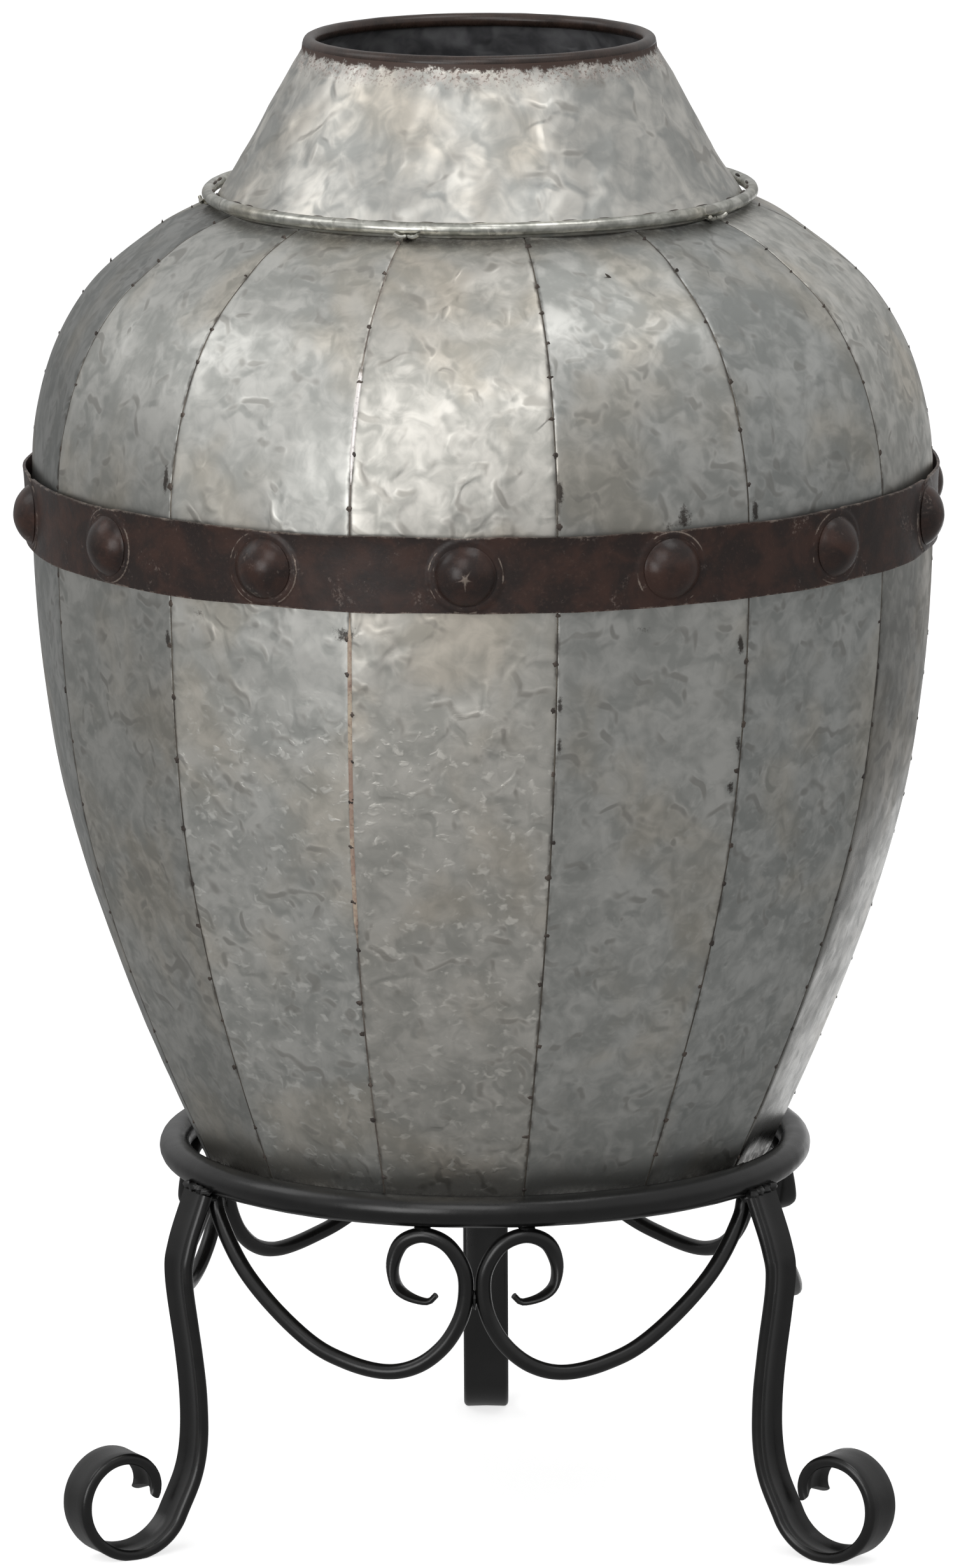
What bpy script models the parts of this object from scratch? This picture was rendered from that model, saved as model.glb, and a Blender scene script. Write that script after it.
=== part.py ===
"""A galvanised steel urn in a three-legged scrollwork stand.

The urn is fourteen bent staves round a base plate, held by a studded band, with a conical neck,
a rolled rim and a tied neck ring. It sits on three seat tabs inside the ring of the stand, and
lifts straight out. Metres, +Z up, origin on the floor under the urn's axis, front towards -Y.
"""

import math

import bmesh
import bpy
from mathutils import Matrix, Vector

MM = 0.001

# Driving dimensions of the urn
STAVES = 14
STAVE_SHEET = 1.6 * MM
STAVE_GAP = math.radians(0.3)
STAVE_PHASE = math.radians(9.3)  # direction of the first seam, turned from the front
STAVE_OUTLINE = [  # radius and height of the outer face, shoulder to base
    (106.5 * MM, 543.0 * MM),
    (121.0 * MM, 537.2 * MM),
    (134.0 * MM, 529.4 * MM),
    (157.0 * MM, 510.0 * MM),
    (172.5 * MM, 485.0 * MM),
    (181.2 * MM, 455.0 * MM),
    (183.2 * MM, 425.0 * MM),
    (182.4 * MM, 385.0 * MM),
    (179.0 * MM, 345.0 * MM),
    (171.7 * MM, 300.0 * MM),
    (157.3 * MM, 250.0 * MM),
    (138.1 * MM, 200.0 * MM),
    (116.8 * MM, 151.6 * MM),
]
STAVE_SPACING = 24 * MM  # between rows of points down a stave

BAND_RADIUS = 185.25 * MM
BAND_SHEET = 1.4 * MM
BAND_TOP = 435.8 * MM
BAND_HEIGHT = 30 * MM

STUD_PHASE = math.radians(-2.0)
STUD_RADIUS = 12 * MM
STUD_RISE = 6.5 * MM
SHANK_RADIUS = 2 * MM
SHANK_HOLE = 2.4 * MM
TAIL_RADIUS = 3.4 * MM
TAIL_THICKNESS = 1.2 * MM

NECK_SHEET = 1.2 * MM
NECK_OUTLINE = [  # radius and height of the cone's outer face, mouth to shoulder
    (71.6 * MM, 604.2 * MM),
    (88.0 * MM, 575.0 * MM),
    (96.2 * MM, 560.0 * MM),
    (105.6 * MM, 545.6 * MM),
]
RIM_RADIUS, RIM_TUBE, RIM_HEIGHT = 68.4 * MM, 2.8 * MM, 607.0 * MM
NECK_RING_RADIUS, NECK_RING_TUBE, NECK_RING_HEIGHT = 109.7 * MM, 2.55 * MM, 546.4 * MM
CLIPS = 5
CLIP_PHASE = math.radians(-15)
CLIP_WIRE = 0.8 * MM
HOOK_START, HOOK_END = math.radians(-72), math.radians(112)  # how far a clip wraps the neck ring
HOOK_STEPS = 8

BASE_RADIUS = 114.2 * MM
BASE_SHEET = 1.6 * MM

# Driving dimensions of the stand
RING_RADIUS, RING_TUBE, RING_HEIGHT = 127 * MM, 6.35 * MM, 153 * MM
TAB_LENGTH, TAB_WIDTH, TAB_THICKNESS = 23 * MM, 20 * MM, 3 * MM
LEGS = {  # degrees from the front, towards +X
    "leg_front_left": -61,
    "leg_front_right": 57,
    "leg_rear": 180,
}
LEG_HALF_SECTION = [  # across the strip and towards its back, back to front
    (5.9 * MM, 2.35 * MM),
    (9.5 * MM, 0.7 * MM),
    (8.8 * MM, -2.35 * MM),
    (5.2 * MM, -0.8 * MM),
]
LEG_STEM = [  # distance from the axis and height of the strip's middle, ring to the foot
    (132.8 * MM, 146.9 * MM),
    (140.3 * MM, 126.0 * MM),
    (142.0 * MM, 112.0 * MM),
    (137.8 * MM, 81.0 * MM),
    (135.9 * MM, 62.0 * MM),
    (135.9 * MM, 45.0 * MM),
    (138.6 * MM, 31.0 * MM),
]
FOOT_CENTRE = Vector((167.9 * MM, 25.6 * MM))
FOOT_OUTER, FOOT_INNER = 24.37 * MM, 9.3 * MM  # radius of the foot's curl where it starts and ends
FOOT_START, FOOT_END = math.radians(-158.8), math.radians(183.6)
FOOT_STEPS = 15
LEG_STEP = 9 * MM
FLOOR_BLOCK = 600 * MM

WIRE_RADIUS = 3.175 * MM
WIRE_STEP = 8.5 * MM
WIRE_START = math.radians(1.64)  # either side of a leg's middle
SCROLL_REACH = math.radians(57.2)  # angle that SCROLL_PATH spans before it is fitted to its gap
SCROLL_PATH = [  # degrees from the middle of the gap between two legs, and height
    (57.2, 144.9 * MM),
    (55.4, 136.5 * MM),
    (47.2, 117.6 * MM),
    (33.0, 96.4 * MM),
    (24.5, 88.8 * MM),
    (16.5, 86.0 * MM),
    (10.4, 89.3 * MM),
    (5.6, 97.8 * MM),
    (2.6, 109.0 * MM),
    (1.56, 120.0 * MM),
    (2.1, 130.0 * MM),
    (5.0, 139.6 * MM),
    (9.3, 143.1 * MM),
    (13.2, 139.6 * MM),
    (14.9, 131.0 * MM),
    (14.4, 122.4 * MM),
    (12.2, 117.8 * MM),
    (8.6, 115.8 * MM),
    (7.0, 118.6 * MM),
]
SCROLL_THIN_FROM = 0.9  # share of the wire's length after which its end is drawn out
SCROLL_THIN = 0.45

CLEARANCE = 0.3 * MM  # between pieces that rest on each other
ROUND_STEPS = 48
STUD_STEPS = 14
SHANK_DEPTH, HOLE_DEPTH = 6.4 * MM, 16 * MM
FULL_TURN = 2 * math.pi


def clear_scene():
    for obj in list(bpy.data.objects):
        bpy.data.objects.remove(obj, do_unlink=True)


def new_collection(name):
    collection = bpy.data.collections.new(name)
    bpy.context.scene.collection.children.link(collection)
    return collection


def new_material(name, colour, roughness, metallic):
    material = bpy.data.materials.new(name)
    material.use_nodes = True
    shader = material.node_tree.nodes["Principled BSDF"]
    shader.inputs["Base Color"].default_value = (*colour, 1)
    shader.inputs["Roughness"].default_value = roughness
    shader.inputs["Metallic"].default_value = metallic
    return material


def smooth_line(points, spacing):
    """Points about spacing apart on a smooth curve through the given ones."""
    vectors = [Vector(point) for point in points]
    vectors = [2 * vectors[0] - vectors[1], *vectors, 2 * vectors[-1] - vectors[-2]]
    line = [vectors[1]]
    for before, start, end, after in zip(vectors, vectors[1:], vectors[2:], vectors[3:]):
        steps = max(1, round((end - start).length / spacing))
        for step in range(1, steps + 1):
            t = step / steps
            straight = 2 * start + (end - before) * t
            bend = (2 * before - 5 * start + 4 * end - after) * t * t
            turn = (3 * start - before - 3 * end + after) * t ** 3
            line.append((straight + bend + turn) / 2)
    return line


def at(angle, radius, height):
    """A point by its direction from the front (-Y) towards +X, distance from the axis and height."""
    return Vector((radius * math.sin(angle), -radius * math.cos(angle), height))


def turned_to(angle):
    """Turns a shape made in the front half-plane, where +X is outward, to a direction round the axis."""
    return Matrix.Rotation(angle - math.pi / 2, 4, "Z")


LIE_OUTWARD = Matrix.Rotation(math.pi / 2, 4, "Y")  # stands a shape's own Z axis outward


def add_object(name, data, collection, material, matrix=None):
    obj = bpy.data.objects.new(name, data)
    collection.objects.link(obj)
    obj.matrix_world = matrix or Matrix()
    if material:
        data.materials.clear()
        data.materials.append(material)
    return obj


def outline_mesh(name, points, closed):
    """Edges through (x, z) points, for a Screw modifier."""
    count = len(points)
    edges = [(i, i + 1) for i in range(count - 1)]
    if closed:
        edges.append((count - 1, 0))
    mesh = bpy.data.meshes.new(name)
    mesh.from_pydata([(x, 0, z) for x, z in points], edges, [])
    return mesh


def add_screw(obj, steps, angle=FULL_TURN):
    screw = obj.modifiers.new("Turn", "SCREW")
    screw.angle = angle
    screw.steps = steps
    screw.render_steps = steps
    screw.use_merge_vertices = angle == FULL_TURN
    screw.merge_threshold = 0.00001
    screw.use_smooth_shade = True
    return screw


def add_solidify(obj, thickness):
    solidify = obj.modifiers.new("Sheet", "SOLIDIFY")
    solidify.thickness = thickness
    solidify.offset = -1


def add_cut(obj, cutter):
    boolean = obj.modifiers.new("Cut " + cutter.name, "BOOLEAN")
    boolean.operation = "DIFFERENCE"
    boolean.solver = "EXACT"
    boolean.object = cutter


def add_ring(name, radius, tube, height, sides, collection, material):
    bpy.ops.mesh.primitive_torus_add(
        major_radius=radius,
        minor_radius=tube,
        major_segments=ROUND_STEPS,
        minor_segments=sides,
        location=(0, 0, height),
    )
    ring = bpy.context.active_object
    ring.name = name
    ring.data.shade_smooth()
    ring.data.materials.append(material)
    move_to(ring, collection)
    return ring


def move_to(obj, collection):
    for old in list(obj.users_collection):
        old.objects.unlink(obj)
    collection.objects.link(obj)


def wire_curve(name, points, radius, sides_detail=2, radii=None):
    """A round wire through points, as curve data with closed ends."""
    curve = bpy.data.curves.new(name, "CURVE")
    curve.dimensions = "3D"
    curve.bevel_depth = radius
    curve.bevel_resolution = sides_detail
    curve.use_fill_caps = True
    spline = curve.splines.new("POLY")
    spline.points.add(len(points) - 1)
    for index, point in enumerate(points):
        spline.points[index].co = (*point, 1)
        spline.points[index].radius = radii[index] if radii else 1
    return curve


def hide_helper(obj):
    obj.hide_render = True
    obj.display_type = "WIRE"


def stud_angle(index):
    return STUD_PHASE + index * FULL_TURN / STAVES


def make_shank_cutters(cutters):
    """One radial cylinder for each stud, through band and stave."""
    made = []
    for index in range(STAVES):
        angle = stud_angle(index)
        middle = at(angle, BAND_RADIUS, BAND_TOP - BAND_HEIGHT / 2)
        bpy.ops.mesh.primitive_cylinder_add(vertices=10, radius=SHANK_HOLE, depth=HOLE_DEPTH)
        cutter = bpy.context.active_object
        cutter.name = f"shank_hole_{index + 1:02}"
        cutter.matrix_world = Matrix.Translation(middle) @ turned_to(angle) @ LIE_OUTWARD
        move_to(cutter, cutters)
        hide_helper(cutter)
        made.append(cutter)
    return made


def make_staves(parts, material, cutters):
    """Bent sheets side by side round the axis, each drilled for the stud that crosses it."""
    share = FULL_TURN / STAVES
    outline = [tuple(p) for p in smooth_line(STAVE_OUTLINE, STAVE_SPACING)]
    for index in range(STAVES):
        start = STAVE_PHASE + (index - 1) * share + STAVE_GAP / 2
        mesh = outline_mesh("stave", outline, closed=False)
        stave = add_object(f"stave_{index + 1:02}", mesh, parts, material, turned_to(start))
        add_screw(stave, 2, share - STAVE_GAP)
        add_solidify(stave, STAVE_SHEET)
        add_cut(stave, cutters[index])


def make_band(parts, material, cutters):
    inner = BAND_RADIUS - BAND_SHEET
    low = BAND_TOP - BAND_HEIGHT
    outline = [(BAND_RADIUS, BAND_TOP), (BAND_RADIUS, low), (inner, low), (inner, BAND_TOP)]
    mesh = outline_mesh("belly_band", outline, closed=True)
    band = add_object("belly_band", mesh, parts, material, turned_to(STAVE_PHASE))
    add_screw(band, 2 * STAVES)
    for cutter in cutters:
        add_cut(band, cutter)


def stud_outline():
    """Dome, flat underside, shank and the spread tail inside the stave; x from the stud's axis, z outward."""
    sphere = (STUD_RADIUS ** 2 + STUD_RISE ** 2) / (2 * STUD_RISE)
    edge = math.asin(STUD_RADIUS / sphere)
    dome = [
        (sphere * math.sin(edge * step / 4), sphere * math.cos(edge * step / 4) - sphere + STUD_RISE)
        for step in range(5)
    ]
    tail = -SHANK_DEPTH
    shank = [(SHANK_RADIUS, 0), (SHANK_RADIUS, tail), (TAIL_RADIUS, tail)]
    return [*dome, *shank, (TAIL_RADIUS, tail - TAIL_THICKNESS), (0, tail - TAIL_THICKNESS)]


def make_studs(parts, material):
    mesh = outline_mesh("stud", stud_outline(), closed=False)
    for index in range(STAVES):
        angle = stud_angle(index)
        foot = at(angle, BAND_RADIUS + CLEARANCE, BAND_TOP - BAND_HEIGHT / 2)
        matrix = Matrix.Translation(foot) @ turned_to(angle) @ LIE_OUTWARD
        stud = add_object(f"stud_{index + 1:02}", mesh, parts, material, matrix)
        add_screw(stud, STUD_STEPS)


def make_neck(parts, metal, rim_metal):
    mesh = outline_mesh("neck_cone", NECK_OUTLINE, closed=False)
    cone = add_object("neck_cone", mesh, parts, metal)
    add_screw(cone, 3 * STAVES)
    add_solidify(cone, NECK_SHEET)
    add_ring("rim_tube", RIM_RADIUS, RIM_TUBE, RIM_HEIGHT, 8, parts, rim_metal)
    add_ring("neck_ring", NECK_RING_RADIUS, NECK_RING_TUBE, NECK_RING_HEIGHT, 8, parts, metal)


def make_neck_clips(parts, material):
    """Short hooks of wire over the neck ring, spaced evenly round it."""
    reach = NECK_RING_TUBE + CLEARANCE + CLIP_WIRE
    centre = Vector((NECK_RING_RADIUS, 0, NECK_RING_HEIGHT))
    hook = []
    for step in range(HOOK_STEPS + 1):
        turn = HOOK_START + (HOOK_END - HOOK_START) * step / HOOK_STEPS
        hook.append(centre + reach * Vector((math.cos(turn), 0, math.sin(turn))))
    for index in range(CLIPS):
        curve = wire_curve("neck_clip", hook, CLIP_WIRE, 1)
        angle = CLIP_PHASE + index * FULL_TURN / CLIPS
        add_object(f"neck_clip_{index + 1}", curve, parts, material, turned_to(angle))


def make_base_plate(parts, material):
    bpy.ops.mesh.primitive_cylinder_add(
        vertices=2 * STAVES,
        radius=BASE_RADIUS,
        depth=BASE_SHEET,
        location=(0, 0, STAVE_OUTLINE[-1][1] + BASE_SHEET / 2),
    )
    plate = bpy.context.active_object
    plate.name = "base_plate"
    plate.data.materials.append(material)
    move_to(plate, parts)


def leg_section(guides):
    """The strip's section: a shallow trough with thick edges, flat along the middle of its back."""
    mirrored = [(-across, depth) for across, depth in reversed(LEG_HALF_SECTION)]
    points = [*LEG_HALF_SECTION, *mirrored]
    curve = bpy.data.curves.new("leg_section", "CURVE")
    spline = curve.splines.new("POLY")
    spline.use_cyclic_u = True
    spline.points.add(len(points) - 1)
    for point, (across, depth) in zip(spline.points, points):
        point.co = (depth, across, 0, 1)
    section = add_object("leg_section", curve, guides, None)
    hide_helper(section)
    return section


def foot_curl():
    """The end of a leg, rolled up and back on itself in a spiral that tightens as it goes."""
    points = []
    for step in range(FOOT_STEPS + 1):
        share = step / FOOT_STEPS
        turn = FOOT_START + (FOOT_END - FOOT_START) * share
        radius = FOOT_OUTER + (FOOT_INNER - FOOT_OUTER) * share ** 2
        points.append(tuple(FOOT_CENTRE + radius * Vector((math.cos(turn), math.sin(turn)))))
    return points


def mesh_of(obj, name):
    """The evaluated shape of a curve as a mesh, with its end caps welded on."""
    graph = bpy.context.evaluated_depsgraph_get()
    mesh = bpy.data.meshes.new_from_object(obj.evaluated_get(graph))
    mesh.name = name
    work = bmesh.new()
    work.from_mesh(mesh)
    bmesh.ops.remove_doubles(work, verts=work.verts, dist=0.00001)
    bmesh.ops.recalc_face_normals(work, faces=work.faces)
    work.to_mesh(mesh)
    work.free()
    return mesh


def make_legs(parts, guides, material):
    """One bent strip copied to three directions, each foot dressed flat where it meets the floor."""
    section = leg_section(guides)
    path = [(p.x, p.y, 0) for p in smooth_line([*LEG_STEM, *foot_curl()], LEG_STEP)]
    curve = wire_curve("leg_path", path, 0)
    curve.bevel_mode = "OBJECT"
    curve.bevel_object = section
    curve.twist_mode = "Z_UP"
    guide = add_object("leg_path", curve, guides, None)
    bpy.context.view_layer.update()
    mesh = mesh_of(guide, "leg")
    bpy.data.objects.remove(guide)
    bpy.ops.mesh.primitive_cube_add(size=FLOOR_BLOCK, location=(0, 0, -FLOOR_BLOCK / 2))
    floor = bpy.context.active_object
    floor.name = "floor_cut"
    move_to(floor, guides)
    hide_helper(floor)
    stand_up = Matrix.Rotation(math.pi / 2, 4, "X")
    for name, degrees in LEGS.items():
        matrix = turned_to(math.radians(degrees)) @ stand_up
        leg = add_object(name, mesh, parts, material, matrix)
        add_cut(leg, floor)


def scroll_points(middle, side, reach):
    """The wire's centre line on the ring's cylinder; side is 1 for the wire by the leg further round."""
    flat = [(RING_RADIUS * math.radians(degrees), height) for degrees, height in SCROLL_PATH]
    stretch = reach / SCROLL_REACH
    points = []
    for point in smooth_line(flat, WIRE_STEP):
        angle = middle + side * stretch * point.x / RING_RADIUS
        points.append(at(angle, RING_RADIUS, point.y))
    return points


def thinning(count):
    """The wire's thickness at each of its points, as a share: full, then drawn out at its hooked end."""
    shares = []
    for index in range(count):
        past = max(0, index / (count - 1) - SCROLL_THIN_FROM) / (1 - SCROLL_THIN_FROM)
        shares.append(1 - (1 - SCROLL_THIN) * past)
    return shares


def make_scrolls(parts, material):
    """Two mirrored wire scrolls in each gap between legs, touching each other in its middle."""
    left, right, rear = (math.radians(degrees) for degrees in LEGS.values())
    gaps = {"front": (left, right), "right": (right, rear), "left": (rear, left + FULL_TURN)}
    for gap, (start, end) in gaps.items():
        middle = (start + end) / 2
        reach = (end - start) / 2 - WIRE_START
        for number, side in enumerate((-1, 1), start=1):
            points = scroll_points(middle, side, reach)
            curve = wire_curve("scroll", points, WIRE_RADIUS, 1, thinning(len(points)))
            add_object(f"scroll_{gap}_{number}", curve, parts, material)


def hold_by(name, pieces, collection):
    """One empty on the lift's axis that every piece of the urn is parented to."""
    holder = bpy.data.objects.new(name, None)
    collection.objects.link(holder)
    for piece in pieces:
        piece.parent = holder


def make_seat_tabs(parts, material):
    """Flat lugs welded inside the stand's ring, which carry the urn's base."""
    top = STAVE_OUTLINE[-1][1] - CLEARANCE
    outer = RING_RADIUS - RING_TUBE - CLEARANCE
    for index, degrees in enumerate(LEGS.values(), start=1):
        angle = math.radians(degrees)
        middle = at(angle, outer - TAB_LENGTH / 2, top - TAB_THICKNESS / 2)
        bpy.ops.mesh.primitive_cube_add(size=1)
        tab = bpy.context.active_object
        tab.name = f"seat_tab_{index}"
        tab.data.transform(Matrix.Diagonal((TAB_LENGTH, TAB_WIDTH, TAB_THICKNESS, 1)))
        tab.matrix_world = Matrix.Translation(middle) @ turned_to(angle)
        tab.data.materials.append(material)
        move_to(tab, parts)


def main():
    clear_scene()
    parts = new_collection("urn_on_stand")
    guides = new_collection("cutters")
    galvanised = new_material("galvanised_steel", (0.55, 0.55, 0.52), 0.42, 1.0)
    bronze_paint = new_material("dark_brown_paint", (0.05, 0.036, 0.03), 0.4, 0.3)
    black_paint = new_material("black_paint", (0.014, 0.014, 0.014), 0.42, 0.0)
    rim_paint = new_material("rim_brown_paint", (0.06, 0.04, 0.03), 0.25, 0.3)
    cutters = make_shank_cutters(guides)
    make_staves(parts, galvanised, cutters)
    make_band(parts, bronze_paint, cutters)
    make_studs(parts, bronze_paint)
    make_neck(parts, galvanised, rim_paint)
    make_neck_clips(parts, galvanised)
    make_base_plate(parts, galvanised)
    hold_by("urn_lift", list(parts.objects), parts)
    add_ring("stand_ring", RING_RADIUS, RING_TUBE, RING_HEIGHT, 10, parts, black_paint)
    make_legs(parts, guides, black_paint)
    make_scrolls(parts, black_paint)
    make_seat_tabs(parts, black_paint)


main()
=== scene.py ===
"""Looks of a galvanised sheet-steel urn in a wrought-iron stand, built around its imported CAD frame.

Almost every visible piece is a fine mesh in the place of a CAD node; the seat tabs are the nodes
themselves, and solder and weld metal are extra. Lengths are in metres, +Z up, and the front is towards
-Y. Directions round the axis are angles from the front towards +X.
"""

import math
import random

import bpy
import numpy as np
from mathutils import Matrix, Vector, noise


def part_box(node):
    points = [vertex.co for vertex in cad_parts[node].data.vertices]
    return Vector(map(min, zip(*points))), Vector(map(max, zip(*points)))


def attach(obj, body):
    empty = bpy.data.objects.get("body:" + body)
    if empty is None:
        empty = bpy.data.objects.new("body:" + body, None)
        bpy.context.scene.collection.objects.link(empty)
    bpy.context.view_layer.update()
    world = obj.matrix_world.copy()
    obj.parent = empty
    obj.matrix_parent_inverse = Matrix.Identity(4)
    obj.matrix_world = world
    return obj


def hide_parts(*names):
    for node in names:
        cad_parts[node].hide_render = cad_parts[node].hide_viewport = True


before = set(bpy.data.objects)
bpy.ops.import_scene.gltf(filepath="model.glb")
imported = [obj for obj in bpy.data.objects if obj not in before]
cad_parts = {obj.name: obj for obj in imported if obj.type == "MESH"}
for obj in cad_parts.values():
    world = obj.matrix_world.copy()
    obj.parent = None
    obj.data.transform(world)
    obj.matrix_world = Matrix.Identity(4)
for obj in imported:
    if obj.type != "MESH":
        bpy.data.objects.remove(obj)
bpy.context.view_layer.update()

MM = 0.001
FULL_TURN = 2 * math.pi


def millimetres(rows):
    return [tuple(value * MM for value in row) for row in rows]


# Urn
STAVES = 14
STAVE_SHARE = FULL_TURN / STAVES
STAVE_PHASE = math.radians(9.3)  # direction of the first seam
STAVE_SHEET = 1.2 * MM
STAVE_FLATNESS = 0.6  # 0 is round across, 1 is flat
STAVE_OUTLINE = millimetres([  # radius and height of the outer face at a seam, shoulder to base
    (106.5, 543.0),
    (121.0, 537.2),
    (134.0, 529.4),
    (157.0, 510.0),
    (172.5, 485.0),
    (181.2, 455.0),
    (183.2, 425.0),
    (182.4, 385.0),
    (179.0, 345.0),
    (171.7, 300.0),
    (157.3, 250.0),
    (138.1, 200.0),
    (116.8, 151.6),
])
NECK_OUTLINE = millimetres([  # radius and height of the cone's outer face, mouth to its foot on the staves
    (71.6, 604.2),
    (88.0, 575.0),
    (96.2, 560.0),
    (105.6, 545.6),
    (107.4, 542.6),
])
NECK_SHEET = 1.2 * MM
HAMMER_SPACING = 15 * MM
RIM_RADIUS, RIM_TUBE, RIM_HEIGHT = 68.4 * MM, 2.8 * MM, 607.0 * MM
NECK_RING_RADIUS, NECK_RING_TUBE, NECK_RING_HEIGHT = 109.7 * MM, 2.55 * MM, 546.4 * MM
CLIPS = 5
CLIP_PHASE = math.radians(-15)
CLIP_WIRE = 0.8 * MM
# The seams lean towards -X as they go down from LEAN_TOP, by these many degrees at the base.
SEAM_LEAN = [1.9, 2.3, 2.3, 2.4, 2.6, 2.6, 2.6, 2.6, 2.6, 2.6, 3.0, 3.3, 4.2, 3.4]
LEAN_TOP, LEAN_BASE = 425 * MM, 155 * MM
BAND_RADIUS, BAND_SHEET = 185.1 * MM, 1.2 * MM
STUD_PHASE = math.radians(-2.0)
STUD_RADIUS, STUD_RISE = 11.9 * MM, 6.5 * MM
WASHER_RADIUS = 14.7 * MM  # the step round each stud, as of a washer pressed into the band

# Stand
RING_RADIUS, RING_TUBE, RING_HEIGHT = 127 * MM, 6.35 * MM, 153 * MM
LEGS = {"leg_front_left": -61, "leg_front_right": 57, "leg_rear": 180}
LEG_WIDTH, LEG_EDGE, LEG_WEB = 19 * MM, 4.7 * MM, 2.3 * MM
LEG_STEM = millimetres([  # distance from the axis and height of the strip's middle, ring to the foot
    (132.8, 146.9),
    (140.3, 126.0),
    (142.0, 112.0),
    (137.8, 81.0),
    (135.9, 62.0),
    (135.9, 45.0),
    (138.6, 31.0),
])
FOOT_CENTRE = (167.9 * MM, 25.6 * MM)
FOOT_OUTER, FOOT_INNER = 24.37 * MM, 9.3 * MM
FOOT_START, FOOT_END = math.radians(-158.8), math.radians(183.6)
FOOT_STEPS = 30
WIRE_RADIUS = 3.175 * MM
WIRE_START = math.radians(1.64)
SCROLL_REACH = math.radians(57.2)
SCROLL_PATH = [  # degrees from the middle of the gap between two legs, and height in millimetres
    (57.2, 144.9),
    (55.4, 136.5),
    (47.2, 117.6),
    (33.0, 96.4),
    (24.5, 88.8),
    (16.5, 86.0),
    (10.4, 89.3),
    (5.6, 97.8),
    (2.6, 109.0),
    (1.56, 120.0),
    (2.1, 130.0),
    (5.0, 139.6),
    (9.3, 143.1),
    (13.2, 139.6),
    (14.9, 131.0),
    (14.4, 122.4),
    (12.2, 117.8),
    (8.6, 115.8),
    (7.0, 118.6),
]

# Camera
CAMERA_PLACE = (0, -4.5131, 1.18727)
CAMERA_PITCH, CAMERA_ROLL, CAMERA_YAW = 0.193644, -0.0052835, -0.00059795
CAMERA_LENS = 259.0


# ---------------------------------------------------------------- shapes


def smooth_line(points, spacing):
    """Points about spacing apart on a smooth curve through the given ones."""
    vectors = [Vector(point) for point in points]
    vectors = [2 * vectors[0] - vectors[1], *vectors, 2 * vectors[-1] - vectors[-2]]
    line = [vectors[1]]
    for before, start, end, after in zip(vectors, vectors[1:], vectors[2:], vectors[3:]):
        steps = max(1, round((end - start).length / spacing))
        for step in range(1, steps + 1):
            t = step / steps
            straight = 2 * start + (end - before) * t
            bend = (2 * before - 5 * start + 4 * end - after) * t * t
            turn = (3 * start - before - 3 * end + after) * t ** 3
            line.append((straight + bend + turn) / 2)
    return line


def at(angle, radius, height):
    return Vector((radius * math.sin(angle), -radius * math.cos(angle), height))


def turned_to(angle):
    """Turns a shape made with +X outward to a direction round the axis."""
    return Matrix.Rotation(angle - math.pi / 2, 4, "Z")


def smoothstep(value):
    value = min(1, max(0, value))
    return value * value * (3 - 2 * value)


def grain(point, size, offset=0):
    """Smooth noise from -1 to 1 with features of a given size."""
    return noise.noise(Vector(point) / size + Vector((offset, offset * 0.7, offset * 1.3)))


def grid_mesh(name, rows, wrap_rows=False, wrap_columns=False, caps=False):
    """Quads over a grid of points. Faces look outward when rows run down and columns run round."""
    count, width = len(rows), len(rows[0])
    points = [tuple(point) for row in rows for point in row]
    faces = []
    for i in range(count if wrap_rows else count - 1):
        for j in range(width if wrap_columns else width - 1):
            below, beside = (i + 1) % count, (j + 1) % width
            faces.append((i * width + j, below * width + j, below * width + beside, i * width + beside))
    if caps:
        faces.append(tuple(range(width)))
        faces.append(tuple((count - 1) * width + j for j in reversed(range(width))))
    mesh = bpy.data.meshes.new(name)
    mesh.from_pydata(points, [], faces)
    mesh.validate()
    return mesh


def set_attribute(mesh, name, values):
    """A number at every vertex, for the material to read."""
    attribute = mesh.attributes.new(name, "FLOAT", "POINT")
    attribute.data.foreach_set("value", np.array(values, np.float32))


def finish_piece(name, mesh, body, material, nodes=(), thickness=0, sharp=40):
    """Makes the object, thickens an open sheet inward, shades it and ties it to the frame."""
    piece = bpy.data.objects.new(name, mesh)
    bpy.context.scene.collection.objects.link(piece)
    if thickness:
        solid = piece.modifiers.new("Sheet", "SOLIDIFY")
        solid.thickness = thickness
        solid.offset = -1
        graph = bpy.context.evaluated_depsgraph_get()
        mesh = bpy.data.meshes.new_from_object(piece.evaluated_get(graph))
        piece.modifiers.clear()
        piece.data = mesh
    mesh.shade_smooth()
    mesh.set_sharp_from_angle(angle=math.radians(sharp))
    mesh.materials.clear()
    mesh.materials.append(material)
    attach(piece, body)
    if nodes:
        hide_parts(*nodes)


def torus_mesh(name, radius, tube, height, around, sides, roughness=0):
    rows = []
    for i in range(sides):
        turn = -FULL_TURN * i / sides
        row = []
        for j in range(around):
            angle = FULL_TURN * j / around
            outward = at(angle, math.cos(turn), math.sin(turn))
            point = at(angle, radius + tube * math.cos(turn), height + tube * math.sin(turn))
            row.append(point + outward * roughness * grain(point, 9 * MM))
        rows.append(row)
    return grid_mesh(name, rows, wrap_rows=True, wrap_columns=True)


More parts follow.
